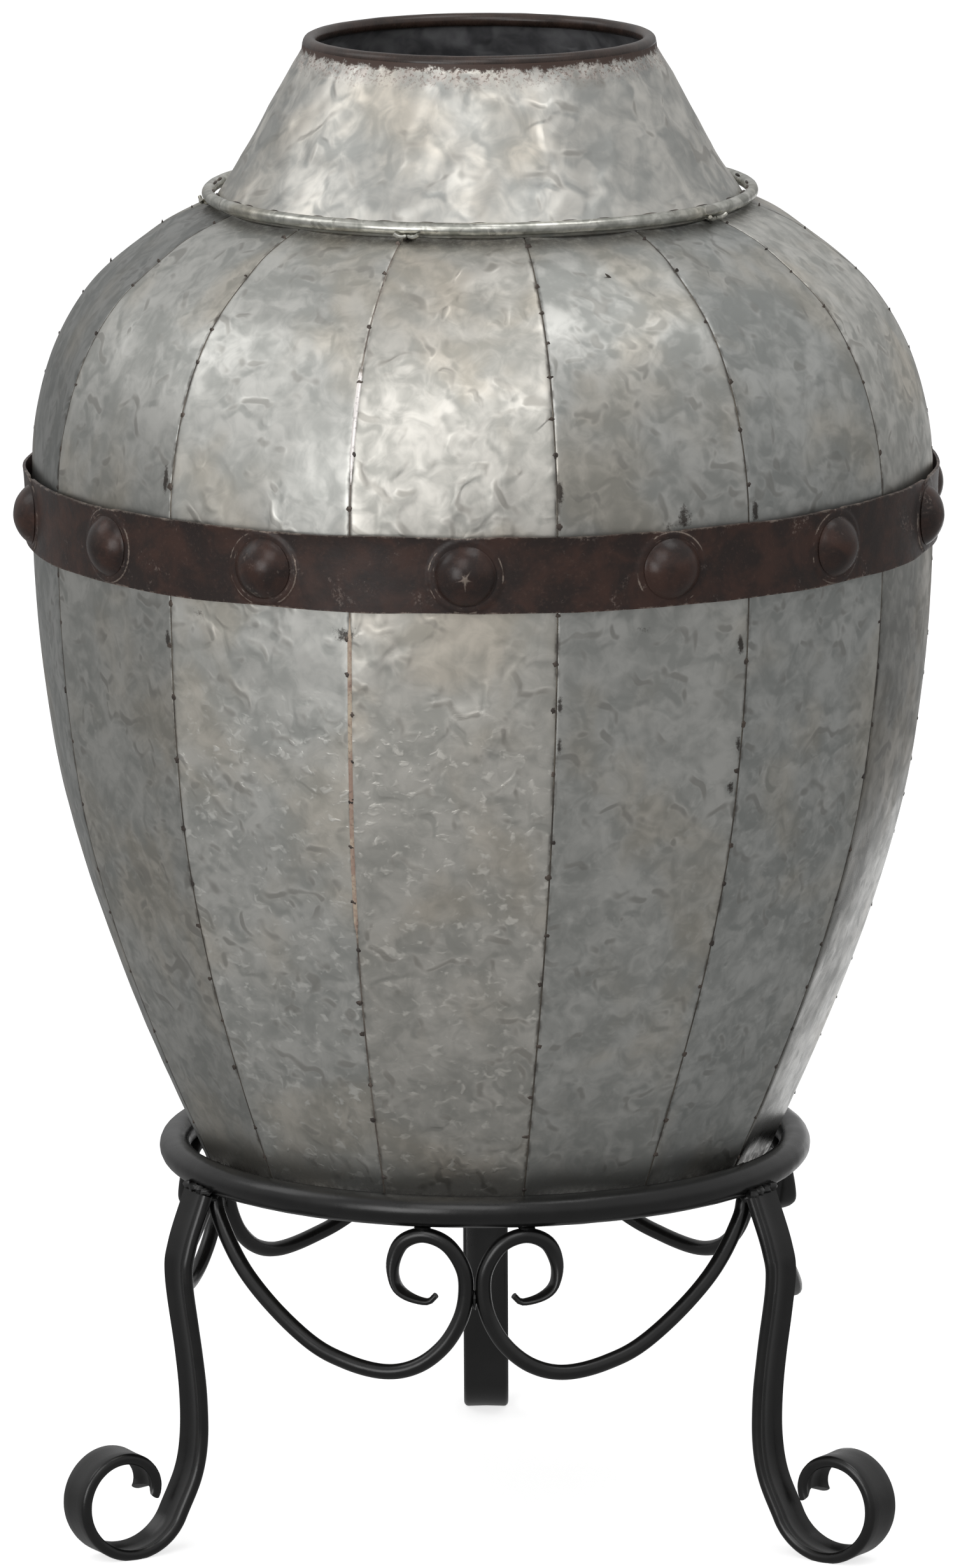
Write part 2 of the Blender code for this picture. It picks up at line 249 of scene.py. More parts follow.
def tube_mesh(name, path, radii, sides=12, up=None):
    """A round or oval tube along a path; radii holds (half width along side, half width along up)."""
    rows = []
    for i, point in enumerate(path):
        ahead = path[min(i + 1, len(path) - 1)]
        behind = path[max(i - 1, 0)]
        along = (Vector(ahead) - Vector(behind)).normalized()
        reference = up(point) if up else Vector((0.31, 0.22, 0.93))
        side = along.cross(reference).normalized()
        over = side.cross(along)
        wide, high = radii[i]
        rows.append([
            Vector(point) + side * wide * math.cos(a) + over * high * math.sin(a)
            for a in (FULL_TURN * k / sides for k in range(sides))
        ])
    return grid_mesh(name, rows, wrap_columns=True, caps=True)


def join_meshes(name, meshes):
    points, faces = [], []
    for mesh in meshes:
        start = len(points)
        points += [tuple(v.co) for v in mesh.vertices]
        faces += [tuple(start + i for i in p.vertices) for p in mesh.polygons]
    joined = bpy.data.meshes.new(name)
    joined.from_pydata(points, [], faces)
    for mesh in meshes:
        bpy.data.meshes.remove(mesh)
    return joined


def blob_mesh(place, sizes, matrix, rough, seed):
    """A lumpy ellipsoid, as weld metal sets."""
    rows = []
    rings, sides = 7, 12
    for i in range(1, rings):
        polar = math.pi * i / rings
        wide = math.sin(polar)
        row = []
        for j in range(sides):
            turn = FULL_TURN * j / sides
            unit = Vector((wide * math.cos(turn), wide * math.sin(turn), math.cos(polar)))
            lump = 1 + rough * noise.noise(unit * 1.6 + Vector((seed, seed * 0.37, 0)))
            local = Vector((unit.x * sizes[0], unit.y * sizes[1], unit.z * sizes[2])) * lump
            row.append(place + matrix.to_3x3() @ local)
        rows.append(row)
    return grid_mesh("blob", rows, wrap_columns=True, caps=True)


# ---------------------------------------------------------------- materials

WARM_TINT = (1.05, 1.0, 0.94)
COOL_TINT = (0.955, 0.995, 1.025)
# Colour of grime, also used for the painted shade under the neck ring and at the clips.
GRIME_AND_SHADE = (0.045, 0.034, 0.029)
SHEET_SHIFT = 0.173  # metres along each axis from one sheet's pattern to the next
SECOND_SHIFT, FADE_SHIFT = (0.31, 0.17, 0.53), (0.7, 0.4, 0.2)  # keep the layers of noise apart
SHADE_SHIFT = (1.6 * MM, 0.0, 2.2 * MM)  # from a dent's edge to the far side of its painted shade
DENT_EDGE = (0.44, 0.60)  # levels of noise between which a dent's edge slopes


def tinted(colour, tint):
    return tuple(part * share for part, share in zip(colour, tint))


def scaled(colour, share):
    return tuple(part * share for part in colour)


class Finish:
    """A material's node tree, with short calls for the nodes that the finishes share."""

    def __init__(self, name):
        self.material = bpy.data.materials.new(name)
        self.material.use_nodes = True
        self.tree = self.material.node_tree
        self.shader = self.tree.nodes["Principled BSDF"]
        self.place = self.add("ShaderNodeTexCoord").outputs["Object"]

    def add(self, kind, inputs=None, **settings):
        node = self.tree.nodes.new(kind)
        for key, value in settings.items():
            setattr(node, key, value)
        for key, value in (inputs or {}).items():
            self.feed(node.inputs[key], value)
        return node

    def feed(self, socket, value):
        if isinstance(value, bpy.types.NodeSocket):
            self.tree.links.new(value, socket)
        elif isinstance(value, tuple) and len(value) == 3 and socket.type == "RGBA":
            socket.default_value = (*value, 1)
        else:
            socket.default_value = value

    def set(self, **inputs):
        for key, value in inputs.items():
            self.feed(self.shader.inputs[key.replace("_", " ").title()], value)

    def math(self, operation, a, b=0.0, c=0.0, clamp=False):
        inputs = {0: a, 1: b, 2: c}
        return self.add("ShaderNodeMath", inputs, operation=operation, use_clamp=clamp).outputs[0]

    def times(self, a, b):
        return self.math("MULTIPLY", a, b)

    def vector(self, operation, a, b=(0, 0, 0), scale=None):
        node = self.add("ShaderNodeVectorMath", {0: a}, operation=operation)
        if scale is None:
            self.feed(node.inputs[1], b)
        else:
            self.feed(node.inputs["Scale"], scale)
        return node.outputs[0]

    def noise(self, size, detail=3.0, rough=0.55, distortion=0.0, place=None):
        inputs = {"Vector": place or self.place, "Scale": 1 / size, "Detail": detail}
        inputs.update({"Roughness": rough, "Distortion": distortion})
        return self.add("ShaderNodeTexNoise", inputs).outputs["Fac"]

    def attribute(self, name):
        return self.add("ShaderNodeAttribute", attribute_name=name).outputs["Fac"]

    def height(self):
        return self.add("ShaderNodeSeparateXYZ", {0: self.place}).outputs["Z"]

    def band(self, value, low, high):
        """0 at low and 1 at high, with a smooth step between; low may be the larger."""
        inputs = {"Value": value, "From Min": low, "From Max": high}
        return self.add("ShaderNodeMapRange", inputs, interpolation_type="SMOOTHSTEP").outputs["Result"]

    def mix(self, share, a, b):
        node = self.add("ShaderNodeMix", data_type="RGBA")
        self.feed(node.inputs["Factor"], share)
        self.feed(node.inputs[6], a)
        self.feed(node.inputs[7], b)
        return node.outputs[2]

    def bump(self, height, strength, distance, normal=None):
        inputs = {"Height": height, "Strength": strength, "Distance": distance}
        if normal:
            inputs["Normal"] = normal
        return self.add("ShaderNodeBump", inputs).outputs["Normal"]


def galvanised(name, light, dark, shine, leaf, relief, sheets=False, top_paint=False):
    """Zinc-coated sheet: shallow dents, crystal flakes, patina and grime, with painted shade on the dents'
    far sides, towards the base and, on the staves, under the neck ring.

    leaf is the size of a dent and relief its depth. With sheets, each stave has its own tone, partly
    painted shade, tint, relief and streaks, held as numbers at its vertices. With top_paint, the mouth's
    brown paint laps over the top.
    """
    f = Finish(name)
    z = f.height()
    place = f.place
    if sheets:
        shift = f.times(f.attribute("sheet"), SHEET_SHIFT)
        shifts = f.add("ShaderNodeCombineXYZ", {0: shift, 1: shift, 2: shift})
        place = f.vector("ADD", place, shifts.outputs[0])

    # Dents: first and second overlap, fade leaves some stretches plain, dent_shade_crescent is a dent's
    # painted shade on its far side.
    broad = f.noise(leaf * 2.6, 1, 0.5, 0.3, place)
    first = f.band(f.noise(leaf * 1.3, 1, 0.4, 0.35, place), 0.40, 0.62)
    second = f.noise(leaf * 0.8, 1, 0.4, 0.4, f.vector("ADD", place, SECOND_SHIFT))
    second = f.band(second, *DENT_EDGE)
    fade = f.noise(leaf * 1.7, 1, 0.4, 0.3, f.vector("ADD", place, FADE_SHIFT))
    fade = f.band(fade, 0.34, 0.62)
    shifted = f.vector("ADD", place, SHADE_SHIFT)
    shifted = f.noise(leaf * 0.8, 1, 0.4, 0.4, f.vector("ADD", shifted, SECOND_SHIFT))
    dent_shade_crescent = f.math("SUBTRACT", second, f.band(shifted, *DENT_EDGE))
    # dented masks the painted shade of the dents.
    dented = f.times(f.band(dent_shade_crescent, 0.05, 0.85), f.band(fade, 0.2, 0.9))

    # Flakes: the crystals' light and dark with the dents' painted shade, on a slow drift between warm and
    # cool grey.
    fine = f.noise(leaf * 0.3, 2, 0.5, 0.5, place)
    mottle = f.noise(leaf * 0.75, 3, 0.55, 1.0, place)
    cloud = f.noise(leaf * 5, 3, 0.55, 0.4, place)
    flakes_and_dent_shade = f.math("MULTIPLY_ADD", mottle, 0.8, f.times(fine, 0.2))
    flakes_and_dent_shade = f.math("MULTIPLY_ADD", f.math("SUBTRACT", first, second), 0.10, flakes_and_dent_shade)
    flakes_and_dent_shade = f.math("MULTIPLY_ADD", f.times(dent_shade_crescent, fade), 0.34, flakes_and_dent_shade)
    flakes_and_dent_shade = f.math("MULTIPLY_ADD", broad, 0.35, flakes_and_dent_shade)
    tone_and_shade = f.band(flakes_and_dent_shade, 0.42, 0.96)
    cool = f.mix(tone_and_shade, dark, light)
    warm = f.mix(tone_and_shade, tinted(dark, WARM_TINT), tinted(light, WARM_TINT))
    colour = f.mix(f.band(cloud, 0.48, 0.66), cool, warm)
    rough = {"Value": tone_and_shade, "To Min": shine + 0.05, "To Max": shine - 0.03}
    rough = f.add("ShaderNodeMapRange", rough).outputs[0]
    metal = 1.0

    leaves = f.times(f.math("MULTIPLY_ADD", second, 0.7, first), fade)
    shallow = f.times(fine, 0.06)
    facets = f.times(broad, 2.2)
    if top_paint:
        struck = f.noise(leaf * 1.1, 1, 0.3, 0.2, f.vector("MULTIPLY", place, (1.0, 1.0, 0.62)))
        facets = f.math("MULTIPLY_ADD", f.band(struck, 0.38, 0.62), 2.6, facets)
    if sheets:
        streaks = f.noise(leaf * 0.5, 1, 0.4, 0.6, f.vector("MULTIPLY", place, (1.0, 1.0, 0.3)))
        leaves = f.times(leaves, f.attribute("relief"))
        shallow = f.math("MULTIPLY_ADD", streaks, f.attribute("streak"), shallow)
        facets = f.times(facets, f.attribute("facet"))
        fleck = f.noise(leaf * 0.3, 2, 0.5, 0.5, f.vector("MULTIPLY", place, (0.8, 0.8, 1)))
        fleck = f.times(f.band(fleck, 0.56, 0.74), f.band(z, 385 * MM, 340 * MM))
        fleck = f.times(fleck, f.attribute("relief"))
        colour = f.mix(f.times(fleck, 0.6), colour, scaled(light, 1.35))
        shallow = f.math("MULTIPLY_ADD", fleck, 0.35, shallow)
    # Painted shade: a darker grey on the far side of each dent.
    colour = f.mix(f.times(dented, 0.6), colour, tinted(dark, (0.62, 0.6, 0.58)))
    height = f.math("ADD", facets, f.math("ADD", leaves, shallow))
    normal = f.bump(height, 1.0, relief)

    # Dirt and painted shade: a painted shade darkening the foot, grime at the base, grime and painted shade
    # under the neck ring, grime in the joints, and the known stains with painted shadows at the clips.
    # Painted shade: the lower body darkens towards the base.
    foot = f.times(f.band(z, 250 * MM, 160 * MM), 0.3)
    colour = f.mix(foot, colour, scaled(dark, 0.5))
    speck = f.noise(2.6 * MM, 3, 0.7)
    grime_and_shade = f.times(f.band(z, 164 * MM, 150 * MM), f.band(speck, 0.30, 0.62))
    if sheets:
        # The sheet with the least relief is polished towards the base.
        polish = f.band(f.attribute("relief"), 0.09, 0.05)
        polish = f.times(polish, f.band(z, 340 * MM, 270 * MM))
        rough = f.math("MULTIPLY_ADD", polish, -0.2, rough)
        patchy = f.band(f.noise(9 * MM, 3, 0.6), 0.42, 0.66)
        joint = f.times(f.band(f.attribute("edge"), 1.6 * MM, 0.2 * MM), patchy)
        # Speckled grime and painted shade just under the neck ring.
        top = f.times(f.band(z, 536 * MM, 542.5 * MM), f.band(speck, 0.2, 0.6))
        ragged = f.math("SUBTRACT", f.noise(2 * MM, 4, 0.8), 0.5)
        # Known stains and the painted shadows at the neck clips, with ragged edges.
        stain_and_shadow = f.math("MULTIPLY_ADD", ragged, 1.1, f.attribute("stain_and_shadow"))
        stain_and_shadow = f.times(f.band(stain_and_shadow, 0.26, 0.62), f.band(f.attribute("stain_and_shadow"), 0.02, 0.2))
        for dirt_and_shade, share in ((top, 0.5), (joint, 0.7), (stain_and_shadow, 0.85)):
            grime_and_shade = f.math("MAXIMUM", grime_and_shade, f.times(dirt_and_shade, share))
        # Each stave's tone, partly painted shade on the side staves, scales its tinted colour.
        tint = f.mix(f.attribute("warmth"), COOL_TINT, WARM_TINT)
        tint = f.vector("SCALE", tint, scale=f.attribute("tone_and_shade"))
        colour = f.vector("MULTIPLY", colour, tint)
    colour = f.mix(grime_and_shade, colour, GRIME_AND_SHADE)
    rough = f.math("ADD", rough, f.times(grime_and_shade, 0.25), clamp=True)
    if top_paint:
        colour, rough, metal = painted_top(f, z, speck, tone_and_shade, colour, rough)
    f.set(base_color=colour, roughness=rough, metallic=metal, normal=normal)
    return f.material


def painted_top(f, z, speck, tone_and_shade, colour, rough):
    """The cone's top under ragged brown paint with spray and a pale halo, and its dull inside."""
    ragged = f.math("SUBTRACT", f.noise(4 * MM, 5, 0.8), 0.5)
    ragged = f.math("ADD", z, f.times(ragged, 11 * MM))
    paint = f.band(ragged, 603.6 * MM, 605 * MM)
    drops = f.band(f.noise(1.3 * MM, 3, 0.7), 0.50, 0.62)
    spray = f.times(f.band(ragged, 595 * MM, 603.8 * MM), drops)
    halo = f.times(f.band(ragged, 597 * MM, 601.5 * MM), f.band(speck, 0.42, 0.60))
    facing = f.add("ShaderNodeNewGeometry").outputs["Normal"]
    outward = f.vector("NORMALIZE", f.vector("MULTIPLY", f.place, (1, 1, 0)))
    facing = f.add("ShaderNodeVectorMath", {0: facing, 1: outward}, operation="DOT_PRODUCT")
    inside = f.band(facing.outputs["Value"], 0.1, -0.1)
    colour = f.mix(f.times(halo, 0.5), colour, (0.66, 0.58, 0.53))
    colour = f.mix(f.times(spray, 0.75), colour, (0.16, 0.105, 0.085))
    colour = f.mix(paint, colour, (0.07, 0.042, 0.032))
    colour = f.mix(inside, colour, f.mix(tone_and_shade, (0.15, 0.15, 0.16), (0.36, 0.36, 0.375)))
    bare = f.math("SUBTRACT", 1.0, f.math("MAXIMUM", paint, f.times(halo, 0.5)))
    metal = f.times(bare, f.math("MULTIPLY_ADD", inside, -0.8, 1.0))
    rough = f.math("ADD", rough, f.times(paint, 0.1), clamp=True)
    return colour, rough, metal


def brown_paint(name, shine, hoop=False):
    """Dark brown paint over steel, mottled and chipped, rubbed to metal on edges, and on the studs a
    painted highlight.

    On the hoop the edges come from the distance to a stud and to the rim, elsewhere from the number
    'wear_and_highlight', which on the studs adds a painted highlight to the worn edge.
    """
    f = Finish(name)
    mottle = f.noise(13 * MM, 4, 0.6, 0.4)
    fine = f.noise(1.6 * MM, 3, 0.65)
    colour = f.mix(f.band(mottle, 0.35, 0.68), (0.027, 0.0185, 0.0165), (0.058, 0.030, 0.023))
    colour = f.mix(f.times(f.band(fine, 0.55, 0.72), 0.3), colour, (0.10, 0.06, 0.045))
    if hoop:
        away = f.attribute("away")
        outer = f.math("ABSOLUTE", f.math("SUBTRACT", away, WASHER_RADIUS))
        inner = f.math("ABSOLUTE", f.math("SUBTRACT", away, STUD_RADIUS + 0.9 * MM))
        wear_and_highlight = f.times(f.band(outer, 0.8 * MM, 0.1 * MM), 0.46)
        wear_and_highlight = f.math("MAXIMUM", wear_and_highlight, f.times(f.band(inner, 0.6 * MM, 0.1 * MM), 0.36))
        wear_and_highlight = f.times(wear_and_highlight, f.band(f.noise(11 * MM, 2, 0.5), 0.36, 0.58))
        rim = f.times(f.band(f.attribute("rim"), 1.6 * MM, 0.2 * MM), 0.42)
        wear_and_highlight = f.math("MAXIMUM", wear_and_highlight, rim)
        wear_and_highlight = f.math("MULTIPLY_ADD", f.band(away, 24 * MM, 15 * MM), 0.06, wear_and_highlight)
    else:
        wear_and_highlight = f.attribute("wear_and_highlight")
    rubbed_and_highlit = f.math("MULTIPLY_ADD", f.noise(4.5 * MM, 5, 0.78, 0.5), 0.75, wear_and_highlight)
    dusty = f.band(f.noise(17 * MM, 5, 0.75, 0.6), 0.57, 0.68)
    dusty = f.times(dusty, f.band(f.noise(1.3 * MM, 2, 0.6), 0.50, 0.62))
    # Bare metal where rubbed, which on the studs includes the painted highlight.
    bare = f.band(rubbed_and_highlit, 0.76, 0.98)
    colour = f.mix(f.times(dusty, 0.35), colour, (0.34, 0.27, 0.235))
    colour = f.mix(f.times(bare, 0.75), colour, (0.40, 0.33, 0.28))
    rough = f.math("ADD", shine, f.times(f.math("SUBTRACT", fine, 0.5), 0.3))
    normal = f.bump(f.noise(6 * MM, 3, 0.5), 0.25, 0.5 * MM)
    normal = f.bump(fine, 0.25, 0.12 * MM, normal)
    normal = f.bump(bare, 0.3, -0.15 * MM, normal)
    f.shader.inputs["Specular IOR Level"].default_value = 0.35
    f.set(base_color=colour, roughness=rough, metallic=f.times(bare, 0.5), normal=normal)
    return f.material


def black_paint(name):
    """Satin black over forged iron: soft hammer marks, fine orange peel, a little brown in patches."""
    f = Finish(name)
    fine = f.noise(0.9 * MM, 2, 0.6)
    broad = f.noise(11 * MM, 3, 0.5, 0.3)
    colour = f.mix(f.band(broad, 0.35, 0.7), (0.0028, 0.0028, 0.0029), (0.0055, 0.0052, 0.005))
    rub = f.times(f.band(f.noise(7 * MM, 4, 0.7), 0.66, 0.74), 0.4)
    colour = f.mix(rub, colour, (0.025, 0.018, 0.014))
    rough = f.math("ADD", 0.2, f.times(broad, 0.16))
    normal = f.bump(broad, 0.25, 0.6 * MM)
    normal = f.bump(fine, 0.16, 0.06 * MM, normal)
    f.shader.inputs["Specular IOR Level"].default_value = 0.62
    f.set(base_color=colour, roughness=rough, normal=normal)
    return f.material


def rim_paint(name):
    """Glossier brown paint on the mouth's rolled tube, with rust-coloured specks."""
    f = Finish(name)
    fine = f.noise(1.1 * MM, 3, 0.7)
    patch = f.band(f.noise(9 * MM, 4, 0.6), 0.35, 0.7)
    colour = f.mix(patch, (0.032, 0.022, 0.018), (0.06, 0.038, 0.03))
    colour = f.mix(f.times(f.band(fine, 0.6, 0.7), 0.5), colour, (0.12, 0.075, 0.055))
    rough = f.math("ADD", 0.2, f.times(fine, 0.18))
    normal = f.bump(f.noise(4 * MM, 3, 0.5), 0.2, 0.3 * MM)
    f.set(base_color=colour, roughness=rough, normal=normal)
    return f.material


def zone(f, z, heights, margin):
    """1 between two heights, falling to 0 over a margin outside them."""
    low, high = heights
    return f.times(f.band(z, low - margin, low), f.band(z, high + margin, high))


def seam_metal(name, dark, light, rough, zones=False):
    """Solder and tack welds, dull and oxidised, patchy along their length; zones adds the bright seam's
    copper-coloured flux and its painted highlight.
    """
    f = Finish(name)
    patch = f.noise(14 * MM, 4, 0.7)
    fine = f.noise(1.4 * MM, 3, 0.6)
    colour = f.mix(f.band(patch, 0.38, 0.66), dark, light)
    metal = f.band(patch, 0.3, 0.7)
    if zones:
        z = f.math("ADD", f.height(), f.times(f.math("SUBTRACT", patch, 0.5), 30 * MM))
        glint, copper = zone(f, z, GLINT, 4 * MM), zone(f, z, COPPER, 10 * MM)
        flux = f.mix(f.band(patch, 0.4, 0.6), (0.42, 0.29, 0.23), (0.62, 0.52, 0.40))
        colour = f.mix(copper, colour, flux)
        # Painted highlight: near-white where the seam's edge would catch the light.
        colour = f.mix(glint, colour, (1.0, 0.95, 0.92))
        metal = f.times(metal, f.math("SUBTRACT", 1, copper))
    colour = f.mix(f.times(f.band(fine, 0.55, 0.7), 0.4), colour, (0.02, 0.016, 0.014))
    normal = f.bump(fine, 0.4, 0.2 * MM)
    f.set(base_color=colour, roughness=rough, metallic=metal, normal=normal)
    return f.material


# ---------------------------------------------------------------- urn

SHEETS = [  # each stave's tone high and low, partly its own and partly painted shade that darkens the side staves, warmth, and depth of dents, of upright streaks and of facets
    (0.99, 1.16, 0.72, 1.0, 0.0, 1.0),
    (0.88, 1.06, 0.4, 0.3, 0.0, 2.2),
    (0.86, 0.95, 0.25, 0.4, 0.35, 2.0),
    (1.12, 0.56, 0.5, 0.05, 0.15, 0.4),
    (0.95, 0.95, 0.4, 0.8, 0.2, 1.0),
    (1.0, 1.0, 0.6, 0.9, 0.0, 1.0),
    (0.9, 0.95, 0.2, 0.4, 0.5, 1.5),
    (0.97, 1.0, 0.7, 1.0, 0.1, 1.0),
    (0.92, 0.95, 0.4, 0.5, 0.4, 1.8),
    (1.0, 0.95, 0.7, 0.8, 0.1, 1.0),
    (0.9, 0.95, 0.3, 0.6, 0.4, 1.4),
    (0.58, 0.78, 0.25, 0.1, 0.3, 0.6),
    (0.96, 0.94, 0.42, 0.35, 0.6, 0.8),
    (1.08, 1.22, 0.45, 0.95, 0.1, 1.0),
]
TONE_AND_SHADE_CHANGE = (360 * MM, 480 * MM)  # heights over which a stave's low tone and painted shade turn into its high ones
BRIGHT_SEAM = 13
GLINT = (460 * MM, 499 * MM)  # heights of that seam's painted highlight, a near-white glint
COPPER = (276 * MM, 399 * MM)  # heights between which it shows copper-coloured flux
STAINS_AND_SHADOWS = [  # drips and smudges, and painted shadows at the neck clips; angle in degrees; height and half size along and down in millimetres; strength
    (-43.2, 451, 1.5, 6.0, 0.9),
    (-42.9, 387, 1.5, 4.0, 0.9),
    (-37.8, 399, 4.0, 2.5, 0.5),
    (-17.1, 396, 6.0, 3.5, 0.65),
    (9.6, 453, 1.6, 5.0, 0.9),
    (9.6, 368, 1.2, 5.0, 0.7),
    (9.6, 352, 1.2, 4.0, 0.7),
    (20.4, 396, 6.0, 2.0, 0.45),
    (24.0, 436, 4.0, 3.0, 0.5),
    (26.1, 440, 3.0, 5.0, 0.75),
    (33.9, 387, 1.5, 4.0, 0.9),
    (34.2, 347, 1.2, 4.0, 0.8),
    (33.6, 329, 1.3, 3.0, 0.8),
    (36.0, 440, 1.5, 5.0, 0.9),
    # Painted shadows under the neck clips, where they hold the ring to the body.
    (-15.0, 542.5, 3.5, 2.0, 0.9),
    (57.0, 542.5, 3.5, 2.0, 0.7),
    (129.0, 542.5, 3.5, 2.0, 0.8),
    (201.0, 542.5, 3.5, 2.0, 0.7),
    (-87.0, 542.5, 3.5, 2.0, 0.8),
    (112.4, 446, 1.5, 5.0, 0.9),
    (163.5, 388, 1.4, 4.0, 0.8),
    (189.3, 440, 1.6, 6.0, 0.9),
    (215.0, 372, 1.3, 4.5, 0.8),
    (240.7, 448, 1.5, 4.5, 0.9),
]
SCRATCH = (22.5, 529 * MM)  # angle in degrees and height
LINE_STEP = 2.4 * MM  # between the levels of a sheet's mesh


def stave_lines():
    """Radius, height and outward direction down a seam, evenly spaced."""
    line = smooth_line(STAVE_OUTLINE, LINE_STEP)
    rows = []
    for i, point in enumerate(line):
        ahead, behind = line[min(i + 1, len(line) - 1)], line[max(i - 1, 0)]
        along = (ahead - behind).normalized()
        rows.append((point.x, point.y, Vector((-along.y, along.x))))
    return rows


def seam_angle(index, height):
    """Direction of a seam at a height."""
    down = max(0, LEAN_TOP - height) / (LEAN_TOP - LEAN_BASE)
    lean = math.radians(SEAM_LEAN[index % STAVES]) * down ** 1.6
    return STAVE_PHASE + index * STAVE_SHARE - lean


def flattened(radius, turn, half=STAVE_SHARE / 2):
    """Radius of a stave's face at an angle from its middle, given the radius at its seams."""
    flat = radius * math.cos(half) / math.cos(turn)
    return flat * STAVE_FLATNESS + radius * (1 - STAVE_FLATNESS)


def stain_and_shadow_at(angle, radius, height):
    """How dark a spot is from the known drips and smudges and the painted shadows at the clips, 0 to 1."""
    most = 0
    for degrees, *sizes, strength in STAINS_AND_SHADOWS:
        level, wide, tall = (size * MM for size in sizes)
        aside = (angle - math.radians(degrees) + math.pi) % FULL_TURN - math.pi
        if abs(aside) < 0.2 and abs(height - level) < 3 * tall:
            away = (aside * radius / wide) ** 2 + ((height - level) / tall) ** 2
            most = max(most, strength * math.exp(-away))
    return most


def stave_mesh(index):
    """One sheet of the body, nearly flat across, dented, its long edges turned in at the seams."""
    steps = [0, 0.3, 0.7, 1.3, 2.2]  # millimetres in from the edge, where the sheet turns in
    high_tone_and_shade, low_tone_and_shade, warmth, relief, streak, facet = SHEETS[index]
    rows, edges, stain_and_shadow_values, tone_and_shade_values = [], [], [], []
    for radius, height, out in stave_lines():
        left, right = seam_angle(index - 1, height), seam_angle(index, height)
        middle, half = (left + right) / 2, (right - left) / 2 - math.radians(0.05)
        risen = (height - TONE_AND_SHADE_CHANGE[0]) / (TONE_AND_SHADE_CHANGE[1] - TONE_AND_SHADE_CHANGE[0])
        tone_and_shade = low_tone_and_shade + (high_tone_and_shade - low_tone_and_shade) * smoothstep(risen)
        width = radius * half
        inner = np.linspace(-1, 1, 34) * (1 - 3.4 * MM / width)
        near = [1 - s * MM / width for s in steps]
        across = [*(-n for n in near), *inner, *reversed(near)]
        row = []
        for share in across:
            turn = share * half
            edge = (1 - abs(share)) * width
            r = flattened(radius, turn, half)
            point = at(middle + turn, r, height)
            outward = at(middle + turn, out.x, out.y)
            calm = smoothstep(edge / (9 * MM))
            dent = 0.42 * MM * grain(point, 34 * MM, index) + 0.16 * MM * grain(point, 13 * MM, index + 20)
            sink = 0.5 * MM * math.exp(-edge / (0.55 * MM))
            row.append(point + outward * (dent * calm - sink))
            edges.append(edge)
            stain_and_shadow_values.append(stain_and_shadow_at(middle + turn, radius, height))
            tone_and_shade_values.append(tone_and_shade)
        rows.append(row)
    mesh = grid_mesh(f"stave_{index}", rows)
    set_attribute(mesh, "edge", edges)
    set_attribute(mesh, "stain_and_shadow", stain_and_shadow_values)
    set_attribute(mesh, "tone_and_shade", tone_and_shade_values)
    whole = {"sheet": index + 1, "warmth": warmth, "relief": relief, "streak": streak, "facet": facet}
    for key, value in whole.items():
        set_attribute(mesh, key, [value] * len(edges))
    return mesh


def make_staves(steel):
    for index in range(STAVES):
        name = f"stave_{index + 1:02}"
        finish_piece(name + "_sheet", stave_mesh(index), "urn", steel, [name], STAVE_SHEET)


def make_seams(solder, bright, tack):
    """A line of solder down each seam, and the dark tack welds along it."""
    random.seed(5)
    lines = stave_lines()
    dull, shiny, tacks = [], [], []
    for index in range(STAVES):
        light = index == BRIGHT_SEAM
        path, radii = [], []
        for radius, height, out in lines[1:-1:2]:
            angle = seam_angle(index, height)
            wide = light and (GLINT[0] < height < GLINT[1] or COPPER[0] < height < COPPER[1])
            half = 1.15 * MM if wide else 0.6 * MM
            sunk = 0.6 * MM if wide else 0.85 * MM
            path.append(at(angle, radius, height) - sunk * at(angle, out.x, out.y))
            radii.append((half, 0.6 * MM))
        mesh = tube_mesh("seam", path, radii, 8, lambda point: Vector((point[0], point[1], 0)).normalized())
        (shiny if light else dull).append(mesh)
        to_next = random.uniform(6, 14) * MM
        for radius, height, out in lines:
            to_next -= LINE_STEP
            if to_next > 0:
                continue
            to_next = random.uniform(12, 30) * MM
            angle = seam_angle(index, height)
            sizes = (0.35 * MM, random.uniform(0.8, 1.35) * MM, random.uniform(0.8, 1.5) * MM)
            aside = random.uniform(-1.2, 0.9) * MM / radius
            place = at(angle + aside, radius, height) - 0.35 * MM * at(angle, out.x, out.y)
            tacks.append(blob_mesh(place, sizes, turned_to(angle), 0.6, random.uniform(0, 40)))
    angle, height = math.radians(SCRATCH[0]), SCRATCH[1]
    radius = min(lines, key=lambda line: abs(line[1] - height))[0] * 0.989
    slant = turned_to(angle) @ Matrix.Rotation(-0.7, 4, "X")
    tacks.append(blob_mesh(at(angle, radius, height), (0.4 * MM, 2.4 * MM, 0.45 * MM), slant, 0.3, 3))
    finish_piece("seam_solder", join_meshes("seam_solder", dull), "urn", solder)
    finish_piece("seam_solder_bright", join_meshes("seam_solder_bright", shiny), "urn", bright)
    finish_piece("seam_tacks", join_meshes("seam_tacks", tacks), "urn", tack)


def stud_angle(index):
    return STUD_PHASE + index * STAVE_SHARE


